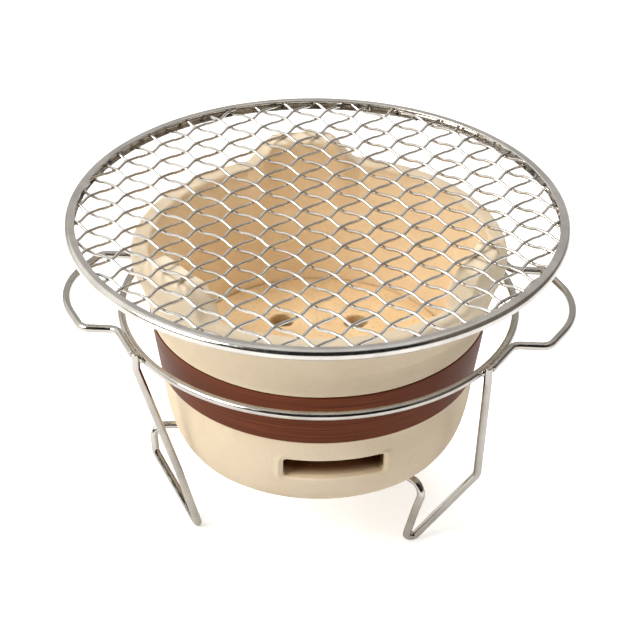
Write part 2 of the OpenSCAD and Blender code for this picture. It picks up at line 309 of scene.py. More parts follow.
def clay_material():
    """Cream clay with grit and throwing lines, lighter and warmer inside as painted bounce light, darker
    on the outer skin and dark in the ash space as painted shade.
    """
    p = Paint("cream_clay")
    broad = p.noise(22, 4, 0.6)
    # One clay in two brightnesses: outer is the clay darkened as painted shade on the outer skin, inner
    # the same clay lighter and warmer as painted bounce light inside the bowl.
    outer = p.ramp(broad, [(0.32, (0.57, 0.475, 0.345)), (0.5, (0.60, 0.505, 0.375)),
                           (0.7, (0.63, 0.54, 0.41))])
    inner = p.ramp(broad, [(0.32, (0.78, 0.61, 0.40)), (0.5, (0.82, 0.66, 0.45)),
                           (0.7, (0.86, 0.71, 0.50))])
    # The inside tag chooses between them: 0 outer painted shade, 1 inner painted bounce light, 2
    # ash-space painted shade.
    depth = p.attribute("inside")
    base = p.mix(p.span(depth, 0.0, 1.0), outer, inner)
    # The ash space's dark brown is painted shade in that recess.
    base = p.mix(p.span(depth, 1.0, 2.0), base, (0.17, 0.066, 0.018))
    grit = p.span(p.noise(900, 2, 0.5), 0.64, 0.74)
    base = p.mix(p.math("MULTIPLY", grit, 0.30), base, (0.36, 0.25, 0.15))
    pale = p.span(p.noise(420, 3, 0.6), 0.60, 0.75)
    base = p.mix(p.math("MULTIPLY", pale, 0.22), base, (0.72, 0.65, 0.54))
    p.color(base)
    p.roughness(p.span(p.noise(150, 3), 0.3, 0.7, 0.80, 0.95))
    p.set(Specular_IOR_Level=0.25)
    rings = p.noise(1.0, 3, 0.5, p.scaled((14, 14, 420)))
    first = p.bump(rings, 0.00018)
    second = p.bump(p.noise(260, 4, 0.6), 0.00025, first)
    p.bump(p.noise(1900, 3, 0.6), 0.00012, second)
    return p.material


def plate_material():
    """Coarse fired clay with brown grit."""
    p = Paint("fired_clay_plate")
    broad = p.noise(40, 4, 0.6)
    base = p.ramp(broad, [(0.3, (0.66, 0.47, 0.26)), (0.55, (0.74, 0.55, 0.32)),
                          (0.75, (0.80, 0.62, 0.39))])
    grit = p.span(p.noise(700, 2, 0.5), 0.60, 0.72)
    base = p.mix(p.math("MULTIPLY", grit, 0.45), base, (0.40, 0.24, 0.11))
    p.color(base)
    p.roughness(p.span(p.noise(150, 3), 0.3, 0.7, 0.82, 0.96))
    p.set(Specular_IOR_Level=0.2)
    first = p.bump(p.noise(180, 4, 0.6), 0.0005)
    p.bump(p.noise(1300, 3, 0.6), 0.0002, first)
    return p.material


def band_material():
    """Red-brown lacquer with fine streaks round the band."""
    p = Paint("lacquered_band")
    streak = p.noise(1.0, 5, 0.6, p.scaled((16, 16, 1500)), 0.3)
    broad = p.noise(26, 3, 0.5)
    base = p.ramp(streak, [(0.30, (0.060, 0.014, 0.005)), (0.5, (0.105, 0.026, 0.009)),
                           (0.70, (0.17, 0.046, 0.016))])
    base = p.mix(p.span(broad, 0.35, 0.7, 0.0, 0.5), base, (0.095, 0.024, 0.009))
    p.color(base)
    p.roughness(p.span(streak, 0.3, 0.7, 0.34, 0.52))
    p.set(Coat_Weight=0.02, Coat_Roughness=0.3, Specular_IOR_Level=0.07)
    p.bump(streak, 0.00016)
    return p.material


def steel_material(name, tint, rough, wear):
    """Bright wire with duller patches. wear is the depth of its drawing marks."""
    p = Paint(name)
    patch = p.noise(55, 3, 0.6)
    dark = tuple(c * 0.82 for c in tint)
    p.color(p.ramp(patch, [(0.35, dark), (0.6, tint)]))
    p.roughness(p.span(p.noise(320, 3, 0.6), 0.35, 0.7, rough, rough + 0.10))
    p.set(Metallic=1.0)
    first = p.bump(p.noise(90, 2, 0.5), wear)
    p.bump(p.noise(1500, 2, 0.5), 0.00002, first)
    return p.material


CLAY = clay_material()
PLATE = plate_material()
BAND = band_material()
NET_STEEL = steel_material("bright_net_wire", (0.68, 0.66, 0.63), 0.13, 0.00003)
STAND_STEEL = steel_material("bright_stand_wire", (0.52, 0.495, 0.465), 0.12, 0.00010)


# ---------------------------------------------------------------- clay bowl

def wall_out(h):
    """Radius of the clay outside, a quarter ellipse from the foot to the band."""
    foot_r, swell, band_h = 63.5, 13.5, 42.5
    return foot_r + swell * np.sqrt(np.clip(1 - (1 - h / band_h) ** 2, 0, 1))


def wall_in(h):
    """Radius of the clay inside, above the plate, continued straight above the rim."""
    h = np.asarray(h, float)
    return np.where(h > 71, 74.2 + (h - 71) * 7.3 / 31.5, 67.6 + (h - 43.3) * 6.6 / 27.7)


def ash_in(h):
    """Radius of the ash space."""
    return 56 + 4 * (h - 19.5) / 13.5


def rounded(points, radius, steps=4):
    """An open line with every inner corner rounded."""
    p = [np.array(q, float) for q in points]
    out = [p[0]]
    for a, b, c in zip(p, p[1:], p[2:]):
        u, w, half = corner_sides(a, b, c)
        room = 0.45 * min(np.linalg.norm(a - b), np.linalg.norm(c - b))
        out += eased_corner(b, u, w, min(radius / math.tan(half), room), steps)
    out.append(p[-1])
    return out


BOWL_NODES = ["bowl_base", "window_course", "plate_seat", "bowl_wall",
              "rear_lug", "left_lug", "right_lug"]
# The bowl's skin is a grid. The window's hole in it is given by columns and by a number of rows.
COLUMNS = 480
WINDOW_FIRST = 320
WINDOW_LAST = 400
WINDOW_STEPS = 12


def bowl_rows():
    """The rows of the bowl's skin, each an array of radii and of heights over all columns."""
    phi = np.arange(COLUMNS) * 2 * math.pi / COLUMNS
    delta = (phi - math.radians(90) + math.radians(60)) % math.radians(120) - math.radians(60)
    one = np.ones(COLUMNS)
    rows = []
    marks = {}

    # inside tags each row for the clay's painted light and shade: 0 the outer skin's painted shade, 1 the
    # inner bowl's painted bounce light, 2 the ash space's painted shade.
    def add(r, h, inside=0.0):
        rows.append((r * one, h * one, inside))

    # Recess, foot ring and notches between the pads.
    for r in (4, 20, 34, 42):
        add(r, FOOT_RECESS)
    recess = [(43.5, FOOT_RECESS), (46, FOOT_RECESS - 0.1), (46.2, 0.0), (48.5, 0.0)]
    for r, h in rounded(recess, 1.0, 3)[1:]:
        add(r, h)
    add(53, 0.0)
    add(57, 0.0)
    edge = np.degrees(np.abs(delta))
    notch = 2.2 * smooth(19.6, 22.4, edge)
    add(57.7, 0.05 * notch)
    add(58.2, 0.85 * notch)
    add(58.9, notch)
    start = wall_out(notch)
    for t in (0.3, 0.6, 0.85, 1.0):
        add(58.9 + (start - 58.9) * t, notch + (0 if t < 1 else 0.02))
    for t in (0.04, 0.12, 0.25, 0.4, 0.6, 0.8):
        h = notch + (8 - notch) * t
        add(wall_out(h), h)
    for h in (8, 9.7, 11.3):
        add(wall_out(h), h)
    marks["out_low"] = len(rows)
    for h in np.linspace(13, 37, WINDOW_STEPS + 1):
        add(wall_out(h), h)
    marks["out_high"] = len(rows) - 1
    for h in (38.5, 40, 41.0):
        add(wall_out(h), h)
    # The groove that the band lies in, with a thin lip on either side.
    groove = ((77.35, 41.5), (77.5, 41.9), (77.4, 42.25), (77.0, 42.5), (77.0, 43.2), (79.1, 57),
              (81.1, 70.4), (81.2, 71.0), (81.75, 71.25), (81.95, 71.7), (81.75, 72.3))
    for r, h in groove:
        add(r, h)
    collar = rounded([(81.9, 73.5), (83.75, 83), (84.95, 86), (88.5, 98.5), (89.9, 101.0)], 2.2, 5)
    for r, h in collar:
        add(r, h)

    # Rim and lugs. A lug rises where the distance along the rim is small.
    def lug_rise(r):
        return LUG_H * soft_clamp((LUG_HALF_W - np.abs(r * np.sin(delta))) / LUG_SLOPE_W)

    def lug_reach(r):
        return 1 - smooth(21.5, 30.5, np.abs(r * np.sin(delta)))

    top = RIM_H + lug_rise(89)
    for t in (0.0, 0.12, 0.3, 0.5, 0.7, 0.88, 1.0):
        h = COLLAR_TOP + (top - RIM_ROUND - COLLAR_TOP) * t
        add(RIM_OUT_R - LUG_LEAN * np.clip(h - 102.5, 0, LUG_H) / LUG_H, h)
    out_r = RIM_OUT_R - LUG_LEAN * np.clip(top - RIM_H, 0, LUG_H) / LUG_H
    for a in (18, 36, 54, 72, 90):
        c, s = cos_sin(a)
        add(out_r - RIM_ROUND * (1 - c), top - RIM_ROUND * (1 - s))
    in_r = RIM_IN_R - (RIM_IN_R - LUG_IN_R) * lug_reach(82)
    inner_top = RIM_H + lug_rise(79)
    # From the rim's top inwards the tag rises towards 1, blending the outer painted shade into the inner
    # painted bounce light.
    for t in (0.2, 0.4, 0.6, 0.8):
        r = (out_r - RIM_ROUND) * (1 - t) + (in_r + RIM_ROUND) * t
        add(r, top * (1 - t) + inner_top * t, 0.15 * t)
    for a in (90, 72, 54, 36, 18, 0):
        c, s = cos_sin(a)
        add(in_r + RIM_ROUND * (1 - c), inner_top - RIM_ROUND * (1 - s), 0.2 + 0.4 * (90 - a) / 90)

    # Down the inside, from the rim's edge to the wall's own slope.
    wall_rows = 14
    start_h = inner_top - RIM_ROUND
    for k in range(1, wall_rows + 1):
        h = start_h + (76 - start_h) * k / wall_rows
        wall = wall_in(h)
        reach = lug_reach(wall)
        r = wall - reach * np.clip(wall - LUG_IN_R, 0, 20)
        step = in_r - (wall_in(start_h) * (1 - reach) + LUG_IN_R * reach)
        add(r + step * (1 - k / wall_rows) ** 2, h, min(1.0, 0.65 + 0.12 * k))
    seat = [(75.0, 74.5), (74.2, 71), (67.6, 43.3), (67.6, 33.0), (60.6, 33.0), (59.9, 32.4)]
    for r, h in rounded(seat, 1.5, 3):
        add(r, h, 1.0)
    marks["in_high"] = len(rows)
    # The ash space takes tag 2, painted shade.
    for h in np.linspace(31.8, 19.27, WINDOW_STEPS + 1):
        add(ash_in(h), h, 2.0)
    marks["in_low"] = len(rows) - 1
    add(56.0, 19.2, 2.0)
    for r in (55.6, 53.5, 40, 22, 4):
        add(r, ASH_FLOOR, 2.0)
    return phi, rows, marks


def window_loop(low, high):
    """Grid places round the window's hole, as (row, column, a, b) with a and b from -1 to 1."""
    step = 1 if high > low else -1
    span = WINDOW_LAST - WINDOW_FIRST
    rise = WINDOW_STEPS
    loop = []
    for k in range(span):
        loop.append((low, WINDOW_FIRST + k, 2 * k / span - 1, -1.0))
    for k in range(rise):
        loop.append((low + step * k, WINDOW_LAST, 1.0, 2 * k / rise - 1))
    for k in range(span):
        loop.append((high, WINDOW_LAST - k, 1 - 2 * k / span, 1.0))
    for k in range(rise):
        loop.append((high - step * k, WINDOW_FIRST, -1.0, 1 - 2 * k / rise))
    return loop


def window_edge(a, b, grow):
    """A point of the window's rounded outline, as (x, height), grown outwards."""
    corner = WINDOW_CORNER
    x, z = a * WINDOW_HALF_W, b * WINDOW_HALF_H
    cx = max(-WINDOW_HALF_W + corner, min(WINDOW_HALF_W - corner, x))
    cz = max(-WINDOW_HALF_H + corner, min(WINDOW_HALF_H - corner, z))
    dx, dz = x - cx, z - cz
    size = math.hypot(dx, dz)
    if dx and dz:
        x, z = cx + dx / size * corner, cz + dz / size * corner
    nx, nz = dx / size if size else 0.0, dz / size if size else 0.0
    return x + nx * grow, WINDOW_MID + z + nz * grow


def build_bowl():
    """The whole fired bowl as one skin, with the air window cut through its wall."""
    phi, rows, marks = bowl_rows()
    verts = []
    inside = []
    for r, h, tag in rows:
        for c in range(COLUMNS):
            verts.append((r[c] * math.cos(phi[c]), r[c] * math.sin(phi[c]), h[c]))
            inside.append(tag)
    faces = []
    holes = ((marks["out_low"], marks["out_high"]), (marks["in_high"], marks["in_low"]))
    for j in range(len(rows) - 1):
        holed = any(a <= j < b for a, b in holes)
        for c in range(COLUMNS):
            if holed and WINDOW_FIRST <= c < WINDOW_LAST:
                continue
            d = (c + 1) % COLUMNS
            faces.append((j * COLUMNS + c, j * COLUMNS + d, (j + 1) * COLUMNS + d, (j + 1) * COLUMNS + c))
    # The foot's middle point takes the outer painted shade, the ash floor's middle point the ash space's
    # painted shade.
    for row, h in ((0, FOOT_RECESS), (len(rows) - 1, ASH_FLOOR)):
        verts.append((0, 0, h))
        inside.append(2.0 if row else 0.0)
        pole = len(verts) - 1
        for c in range(COLUMNS):
            faces.append((row * COLUMNS + c, row * COLUMNS + (c + 1) % COLUMNS, pole))

    # The window: rings from the hole in the outer skin, through the wall, to the inner one.
    outer = window_loop(marks["out_low"], marks["out_high"])
    inner = window_loop(marks["in_low"], marks["in_high"])
    loops = [[row * COLUMNS + col for row, col, a, b in outer]]

    def ring(points, tag):
        first = len(verts)
        verts.extend(points)
        inside.extend(tag if isinstance(tag, list) else [tag] * len(points))
        loops.append(list(range(first, first + len(points))))

    def wall_y(radius, x):
        return -math.sqrt(float(radius) ** 2 - x * x)

    def blended(loop, t, radius_at, grow, lift):
        """A ring on the skin, between the hole at t = 0 and the window's edge at t = 1."""
        points = []
        for row, col, a, b in loop:
            x1, h1 = window_edge(a, b, grow)
            turn1 = math.asin(x1 / float(radius_at(h1)))
            turn0 = phi[col] - math.radians(270)
            h0 = rows[row][1][col]
            h = h0 + (h1 - h0) * t
            turn = turn0 + (turn1 - turn0) * t
            radius = float(radius_at(h))
            burr = lift * smooth(0.82, 1.0, abs(a)) * math.exp(-((t - 0.93) / 0.07) ** 2)
            points.append(((radius + burr) * math.sin(turn), -(radius + burr) * math.cos(turn), h))
        return points

    bevel = 1.5
    inner_bevel = 0.15
    for t in (0.3, 0.55, 0.72, 0.82, 0.88, 0.93, 0.97, 1.0):
        ring(blended(outer, t, wall_out, bevel, 0.7), 0.0)
    # The outer bevel's tags blend from the outer skin's painted shade towards the tunnel's.
    for angle in (18, 36, 54, 72, 90):
        c, s = cos_sin(angle)
        points = []
        for row, col, a, b in outer:
            x, h = window_edge(a, b, bevel * (1 - s))
            points.append((x, wall_y(wall_out(h), x) + bevel * (1 - c), h))
        ring(points, 0.2 + 0.4 * angle / 90)
    # The tunnel through the wall takes painted shade, and its floor is paler near the opening, painted
    # light falling in from outside.
    for t in (0.12, 0.3, 0.5, 0.7, 0.88, 1.0):
        points = []
        for row, col, a, b in outer:
            x, h = window_edge(a, b, 0)
            y0 = wall_y(wall_out(h), x) + bevel
            y1 = wall_y(ash_in(h), x) - inner_bevel
            points.append((x, y0 + (y1 - y0) * t, h))
        sill_light_tag = 1.35 + 0.6 * smooth(0.1, 0.5, t)
        ring(points, [sill_light_tag if b < -0.9 else 1.75 for row, col, a, b in outer])
    # The inner rounding and the ash wall round the hole take the ash space's painted shade.
    for angle in (67, 45, 22, 0):
        c, s = cos_sin(angle)
        points = []
        for row, col, a, b in outer:
            x, h = window_edge(a, b, inner_bevel * (1 - s))
            points.append((x, wall_y(ash_in(h), x) - inner_bevel * (1 - c), h))
        ring(points, 2.0)
    for t in (0.66, 0.33):
        ring(blended(inner, t, ash_in, inner_bevel, 0.0), 2.0)
    loops.append([row * COLUMNS + col for row, col, a, b in inner])
    faces += stitch(loops)

    # Hand-made unevenness, then the bowl's turn and place.
    verts = np.array(verts)
    radius = np.hypot(verts[:, 0], verts[:, 1])
    away = verts[:, :2] / np.maximum(radius, 1e-6)[:, None]
    wobble = 0.16 * lumps(verts, 28, 3.1) + 0.07 * lumps(verts, 9, 7.7)
    free = smooth(20, 50, radius) * (1 - smooth(89.0, 90.2, radius) * 0.9)
    verts[:, :2] += away * (wobble * free)[:, None]
    height = verts[:, 2]
    near_rim = smooth(100, 106, height) * (1 - smooth(117.6, 118.3, height))
    verts[:, 2] += 0.18 * lumps(verts, 17, 11.3) * near_rim
    placed = moved(verts, BOWL_TURN, (0, 0, BOWL_Z))
    used = sorted({i for f in faces for i in f})
    renumber = {old: new for new, old in enumerate(used)}
    faces = [tuple(renumber[i] for i in f) for f in faces]
    make_piece("bowl_body", placed[used], faces, CLAY, "fire_bowl", BOWL_NODES,
               np.array(inside)[used])


def revolve(section, steps):
    """Points and faces of a closed section turned about the axis."""
    verts = []
    for k in range(steps):
        a = 2 * math.pi * k / steps
        for r, h in section:
            verts.append((r * math.cos(a), r * math.sin(a), h))
    m = len(section)
    faces = []
    for k in range(steps):
        n = (k + 1) % steps
        for i in range(m):
            j = (i + 1) % m
            faces.append((k * m + i, n * m + i, n * m + j, k * m + j))
    return np.array(verts), faces


def closed_rounded(points, radii, steps=4):
    """A closed section with its corners rounded by the given radii."""
    p = [np.array(q, float) for q in points]
    out = []
    for i, b in enumerate(p):
        u, w, half = corner_sides(p[i - 1], b, p[(i + 1) % len(p)])
        out += eased_corner(b, u, w, radii[i] / math.tan(half), steps)
    return out


def build_band():
    """The brown hoop band, a thin closed section turned round the bowl."""
    section = closed_rounded(
        [(77.12, 42.6), (78.1, 42.6), (80.25, 56.75), (82.3, 70.9), (81.32, 70.9)],
        [0.1, 0.4, 2.0, 0.4, 0.1], 5)
    verts, faces = revolve(section, 360)
    verts[:, 2] += BOWL_Z
    make_piece("band_strip", verts, faces, BAND, "fire_bowl", ["brown_band"])


def build_plate():
    """The charcoal plate: two flat faces with holes, joined by rounded edges."""
    # Circles as middle, radius, side of the clay (1 inside, -1 outside) and number of points.
    circles = [(0.0, 0.0, PLATE_R, 1, 200)]
    circles.append((0.0, 0.0, HOLE_R, -1, 48))
    for k in range(HOLES_ROUND):
        c, s = cos_sin(360 / HOLES_ROUND * k)
        circles.append((HOLE_RING_R * c, HOLE_RING_R * s, HOLE_R, -1, 48))
    flat = []
    loops = []
    for cx, cy, r, side, count in circles:
        first = len(flat)
        for i in range(count):
            a = 2 * math.pi * i / count
            rr = r - side * PLATE_EDGE
            flat.append((cx + rr * math.cos(a), cy + rr * math.sin(a)))
        loops.append((first, count))
    edges = [(f + i, f + (i + 1) % n) for f, n in loops for i in range(n)]
    for r, n in ((14, 24), (20, 30), (45, 60), (54, 72)):
        for i in range(n):
            a = 2 * math.pi * (i + 0.5) / n
            flat.append((r * math.cos(a), r * math.sin(a)))
    done = geometry.delaunay_2d_cdt([Vector(p) for p in flat], edges, [], 2, 1e-5)
    points, origin = done[0], done[3]
    # The triangles that fill the holes are left out.
    tris = []
    for t in done[2]:
        x, y = sum(points[i].x for i in t) / 3, sum(points[i].y for i in t) / 3
        if all(math.hypot(x - cx, y - cy) > r for cx, cy, r, side, count in circles if side < 0):
            tris.append(t)
    where = {}
    for new, olds in enumerate(origin):
        for old in olds:
            where[old] = new
    verts = [(p.x, p.y, PLATE_THICK) for p in points] + [(p.x, p.y, 0.0) for p in points]
    m = len(points)
    faces = [tuple(t) for t in tris] + [tuple(m + i for i in reversed(t)) for t in tris]
    for (first, count), (cx, cy, r, side, n) in zip(loops, circles):
        rings = [[where[first + i] for i in range(count)]]
        levels = []
        for a in (22, 45, 67, 90):
            c, s = cos_sin(a)
            levels.append((r - side * PLATE_EDGE * (1 - s), PLATE_THICK - PLATE_EDGE * (1 - c)))
        for a in (90, 67, 45, 22):
            c, s = cos_sin(a)
            levels.append((r - side * PLATE_EDGE * (1 - s), PLATE_EDGE * (1 - c)))
        for rr, h in levels:
            ring = []
            for i in range(count):
                a = 2 * math.pi * i / count
                verts.append((cx + rr * math.cos(a), cy + rr * math.sin(a), h))
                ring.append(len(verts) - 1)
            rings.append(ring)
        rings.append([m + where[first + i] for i in range(count)])
        faces += stitch(rings)
    placed = moved(np.array(verts), PLATE_TURN, (0, 0, PLATE_Z))
    make_piece("pierced_plate", placed, faces, PLATE, "plate", ["charcoal_plate"])


# ---------------------------------------------------------------- wires

def bent_path(p, radii, arc=14):
    """Points along a wire through the corners p, with round bends."""
    out = [p[0]]
    for i in range(1, len(p) - 1):
        u, w = unit(p[i] - p[i - 1]), unit(p[i + 1] - p[i])
        turn = math.acos(max(-1, min(1, float(u @ w))))
        r = radii[i - 1]
        axis = unit(np.cross(u, w))
        side = np.cross(u, axis)
        mid = p[i] - u * (r * math.tan(turn / 2)) - side * r
        for k in range(arc + 1):
            a = turn * k / arc
            out.append(mid + r * (side * math.cos(a) + u * math.sin(a)))
    out.append(p[-1])
    longest = 4.0
    full = [out[0]]
    for a, b in zip(out, out[1:]):
        gap = np.linalg.norm(b - a)
        count = max(1, int(gap / longest))
        for k in range(1, count + 1):
            full.append(a + (b - a) * k / count)
    return np.array(full)


def tube(path, radius, sides):
    """A tube along the path with eased flat ends."""
    path = np.asarray(path, float)
    ahead = unit(path[1] - path[0])
    back = unit(path[-1] - path[-2])
    end_steps = ((0.0, 0.55), (0.06, 0.84), (0.2, 0.97), (0.4, 1.0))
    eased = []
    sizes = []
    for shift, size in end_steps:
        eased.append(path[0] + ahead * radius * shift)
        sizes.append(size)
    middle = [q for q in path[1:-1]
              if min(np.linalg.norm(q - path[0]), np.linalg.norm(q - path[-1])) > radius * 0.5]
    eased += middle
    sizes += [1.0] * len(middle)
    for shift, size in reversed(end_steps):
        eased.append(path[-1] - back * radius * shift)
        sizes.append(size)
    eased = np.array(eased)
    tangents = np.gradient(eased, axis=0)
    tangents /= np.linalg.norm(tangents, axis=1)[:, None]
    normal = np.cross(tangents[0], (0.0, 0.0, 1.0))
    if np.linalg.norm(normal) < 0.1:
        normal = np.cross(tangents[0], (1.0, 0.0, 0.0))
    normal = unit(normal)
    verts = []
    for q, t, size in zip(eased, tangents, sizes):
        normal = unit(normal - t * (normal @ t))
        other = np.cross(t, normal)
        for i in range(sides):
            a = 2 * math.pi * i / sides
            verts.append(q + (normal * math.cos(a) + other * math.sin(a)) * radius * size)
    rings = len(eased)
    faces = stitch([range(k * sides, (k + 1) * sides) for k in range(rings)])
    for ring, tip in ((0, eased[0]), (rings - 1, eased[-1])):
        verts.append(tip)
        for i in range(sides):
            faces.append((ring * sides + i, ring * sides + (i + 1) % sides, len(verts) - 1))
    return np.array(verts), faces


def build_ring():
    section = [(RING_R + WIRE_R * math.cos(a), RING_H + WIRE_R * math.sin(a))
               for a in np.linspace(0, 2 * math.pi, 29)[:-1]]
    verts, faces = revolve(section, 300)
    make_piece("ring_wire", verts, faces, STAND_STEEL, "stand", ["stand_ring"])


def handle_points():
    """Corners of the right handle's wire, from one tail on the ring to the other."""
    centre_gap = WELD_R - RING_R
    tail_r = RING_R + math.sqrt(centre_gap ** 2 - (HANDLE_Z - RING_H) ** 2)
    tail_turn = LEG_TURN - 90 + math.degrees(math.asin((WIRE_R + TAIL_CLEAR) / WELD_R))
    half_tail = (-tail_turn - math.degrees(math.asin(HANDLE_HALF_W / tail_r))) / 2
    end_r = tail_r / math.cos(math.radians(half_tail))
    bar_x = math.sqrt(end_r ** 2 - HANDLE_HALF_W ** 2)
    side_turn = math.radians(HANDLE_SIDE_TURN)
    side_x = HANDLE_REACH + HANDLE_SIDE_R * (1 / math.cos(side_turn) - 1)
    corner_x = side_x - HANDLE_HALF_W * math.tan(side_turn)
    half = [polar(end_r, tail_turn, HANDLE_Z), np.array([bar_x, -HANDLE_HALF_W, HANDLE_Z]),
            np.array([corner_x, -HANDLE_HALF_W, HANDLE_Z])]
    mirrored = [np.array([q[0], -q[1], q[2]]) for q in reversed(half)]
    return half + [np.array([side_x, 0, HANDLE_Z])] + mirrored


def build_handles():
    path = bent_path(handle_points(), [BEND_R, BEND_R, HANDLE_SIDE_R, BEND_R, BEND_R])
    for name, node, side in (("handle_right", "right_handle", 1), ("handle_left", "left_handle", -1)):
        verts, faces = tube(path * np.array([side, 1, 1]), WIRE_R, WIRE_SIDES)
        make_piece(name, verts, faces, STAND_STEEL, "stand", [node])


def foot_low(a, corner, b):
    """How far the lowest point of the foot's bend is above its clearance to the table."""
    u, w = unit(corner - a), unit(b - corner)
    turn = math.acos(float(u @ w))
    axis = unit(np.cross(u, w))
    mid = corner - u * (FOOT_BEND_R * math.tan(turn / 2)) - np.cross(u, axis) * FOOT_BEND_R
    return mid[2] - FOOT_BEND_R * math.sqrt(1 - axis[2] ** 2) - WIRE_R - FOOT_CLEAR


def leg_path(weld, r, turn):
    """A hairpin leg from its weld on the ring, down to its foot and up to the peg."""
    outer = polar(r[0], weld + turn[0], OUTER_BEND_H)
    tip = polar(r[1], weld + turn[1], WIRE_R)
    inner = polar(r[2], weld + turn[2], INNER_BEND_H)
    peg = polar(r[3], weld + turn[3], PEG_H)
    u, w = unit(tip - outer), unit(inner - tip)
    gap = FOOT_BEND_R * (1 / math.cos(math.acos(float(u @ w)) / 2) - 1)
    foot = tip + unit(u - w) * gap
    settle_rounds = 8
    for k in range(settle_rounds):
        foot = foot - np.array([0, 0, foot_low(outer, foot, inner)])
    return bent_path(
        [polar(WELD_R, weld, RING_H + LEG_TOP), polar(WELD_R, weld, RING_H - LEG_NECK), outer, foot,
         inner, peg, polar(PEG_END_R, weld + turn[3], PEG_H)],
        [BEND_R, BEND_R, FOOT_BEND_R, BEND_R, BEND_R])


# Each leg's piece, node and weld's turn, then the distances and turns from the weld of its
# outer bend, foot, inner bend and peg.
LEGS = (
    ("leg_left", "left_leg", 270 - LEG_TURN, (81, 67.5, 82, 83), (2, -4, -28, -30)),
    ("leg_right", "right_leg", 270 + LEG_TURN, (90.5, 61, 69.5, 73.5), (7.5, -3.5, -7.5, -6.5)),
    ("leg_rear", "rear_leg", 90, (85.5, 64, 76, 78), (5, -4, -18, -18)),
)


def build_legs():
    for name, node, weld, r, turn in LEGS:
        verts, faces = tube(leg_path(weld, r, turn), WIRE_R, WIRE_SIDES)
        make_piece(name, verts, faces, STAND_STEEL, "stand", [node])


def blob(center, axes, sizes, seed):
    """A lumpy bead of weld metal."""
    around, up = 20, 12
    verts = []
    for k in range(up + 1):
        b = math.pi * k / up - math.pi / 2
        for i in range(around):
            a = 2 * math.pi * i / around
            d = np.array([math.cos(b) * math.cos(a), math.cos(b) * math.sin(a), math.sin(b)])
            lump = 1 + 0.10 * noise.noise(Vector(d * 1.7) + Vector((seed, seed, 0)))
            verts.append(np.asarray(center) + sum(axes[j] * (d[j] * sizes[j] * lump) for j in range(3)))
    return verts, stitch([range(k * around, (k + 1) * around) for k in range(up + 1)])


# Weld beads: distance from the axis, height over the ring, and half sizes out, along and up.
LEG_BEAD = (98.0, 0.2, (1.5, 2.5, 2.4))
HANDLE_BEAD = (97.8, 0.9, (1.0, 2.0, 1.25))
HANDLE_BEAD_TURNS = (-30.0, -25.0)


def build_welds():
    """One bead where each leg meets the ring, and two at each end of a handle."""

    def add_bead(name, turn, kind, seed):
        r, rise, sizes = kind
        axes = (polar(1, turn, 0), polar(1, turn + 90, 0), np.array([0.0, 0.0, 1.0]))
        verts, faces = blob(polar(r, turn, RING_H + rise), axes, sizes, seed)
        make_piece(name, verts, faces, STAND_STEEL, "stand", ())

    for n, (name, node, weld, r, turn) in enumerate(LEGS):
        add_bead("weld_" + node, weld, LEG_BEAD, 3.0 + n)
    n = 0
    for side in (1, -1):
        for end in (1, -1):
            for at in HANDLE_BEAD_TURNS:
                turn = at * end if side > 0 else 180 - at * end
                add_bead("weld_handle_%d" % (n + 1), turn, HANDLE_BEAD, 9.0 + n)
                n += 1


def build_net_rim():
    """The rolled hoop: a channel that is open to the inside, where the wires end."""
    r0 = HOOP_R - HOOP_HALF
    outer = [(r0 + HOOP_HALF * math.cos(a), HOOP_HALF * math.sin(a))
             for a in np.linspace(-math.pi / 2, math.pi / 2, 25)]
    lip = [(116.2, HOOP_HALF), (115.6, 2.74), (115.15, 2.55), (115.0, 2.3), (115.05, 2.08),
           (115.3, 1.93), (116.0, HOOP_BORE)]
    inner = [(r0 + HOOP_BORE * math.cos(a), HOOP_BORE * math.sin(a))
             for a in np.linspace(math.pi / 2, -math.pi / 2, 13)]
    low = [(r, -h) for r, h in reversed(lip)]
    section = outer + lip + inner + low
    verts, faces = revolve(section, 360)
    verts += np.array([*NET_SHIFT, NET_Z])
    make_piece("net_hoop", verts, faces, NET_STEEL, "cooking_net", ["net_rim"])


def wire_numbers(shift):
    """Numbers of the wires of one way that fit inside the hoop."""
    return list(range(math.ceil((-LIMIT - shift) / PITCH), math.floor((LIMIT - shift) / PITCH) + 1))


def wave(t):
    """A crimp: from +1 over a crossing wire to -1 under the next, with flat knuckles."""
    flatness = 1.7
    return np.tanh(flatness * np.cos(math.pi * t)) / math.tanh(flatness)


def crimped(offset, shift, side, number, turn):
    """A net wire that far off the middle, with its crossings every PITCH from shift."""
    half = math.sqrt(REACH ** 2 - (abs(offset) + MESH_R) ** 2)
    spacing = 1.1
    count = max(24, int(2 * half / spacing))
    x = np.linspace(-half, half, count)
    t = (x - shift) / PITCH
    step = STEP_A if side < 0 else STEP_B
    z = side * CRIMP * wave(t + number) + step * np.sin(2 * math.pi * t)
    path = np.stack([x, np.full_like(x, offset), z], axis=1)
    return tube(moved(path, turn, (*NET_SHIFT, NET_Z)), MESH_R, MESH_SIDES)


def build_net_wires():
    ways = (("a", 1, A_OFFSET, B_OFFSET, -1, NET_TURN), ("b", -1, B_OFFSET, A_OFFSET, 1, NET_TURN + 90))
    for letter, sign, own, other, side, turn in ways:
        for i, k in enumerate(wire_numbers(own)):
            verts, faces = crimped(sign * (own + k * PITCH), other, side, k, turn)
            make_piece("crimped_%s_%d" % (letter, i + 1), verts, faces, NET_STEEL, "cooking_net",
                       ["net_wire_%s_%d" % (letter, i + 1)])


build_bowl()
build_band()
build_plate()
build_ring()
build_handles()
build_legs()
build_welds()
build_net_rim()
build_net_wires()


# ---------------------------------------------------------------- stage, light, camera

FLOOR_HALF = 6.0
FLOOR_SHADE = 0.93
FLOOR_LIFT = 0.45


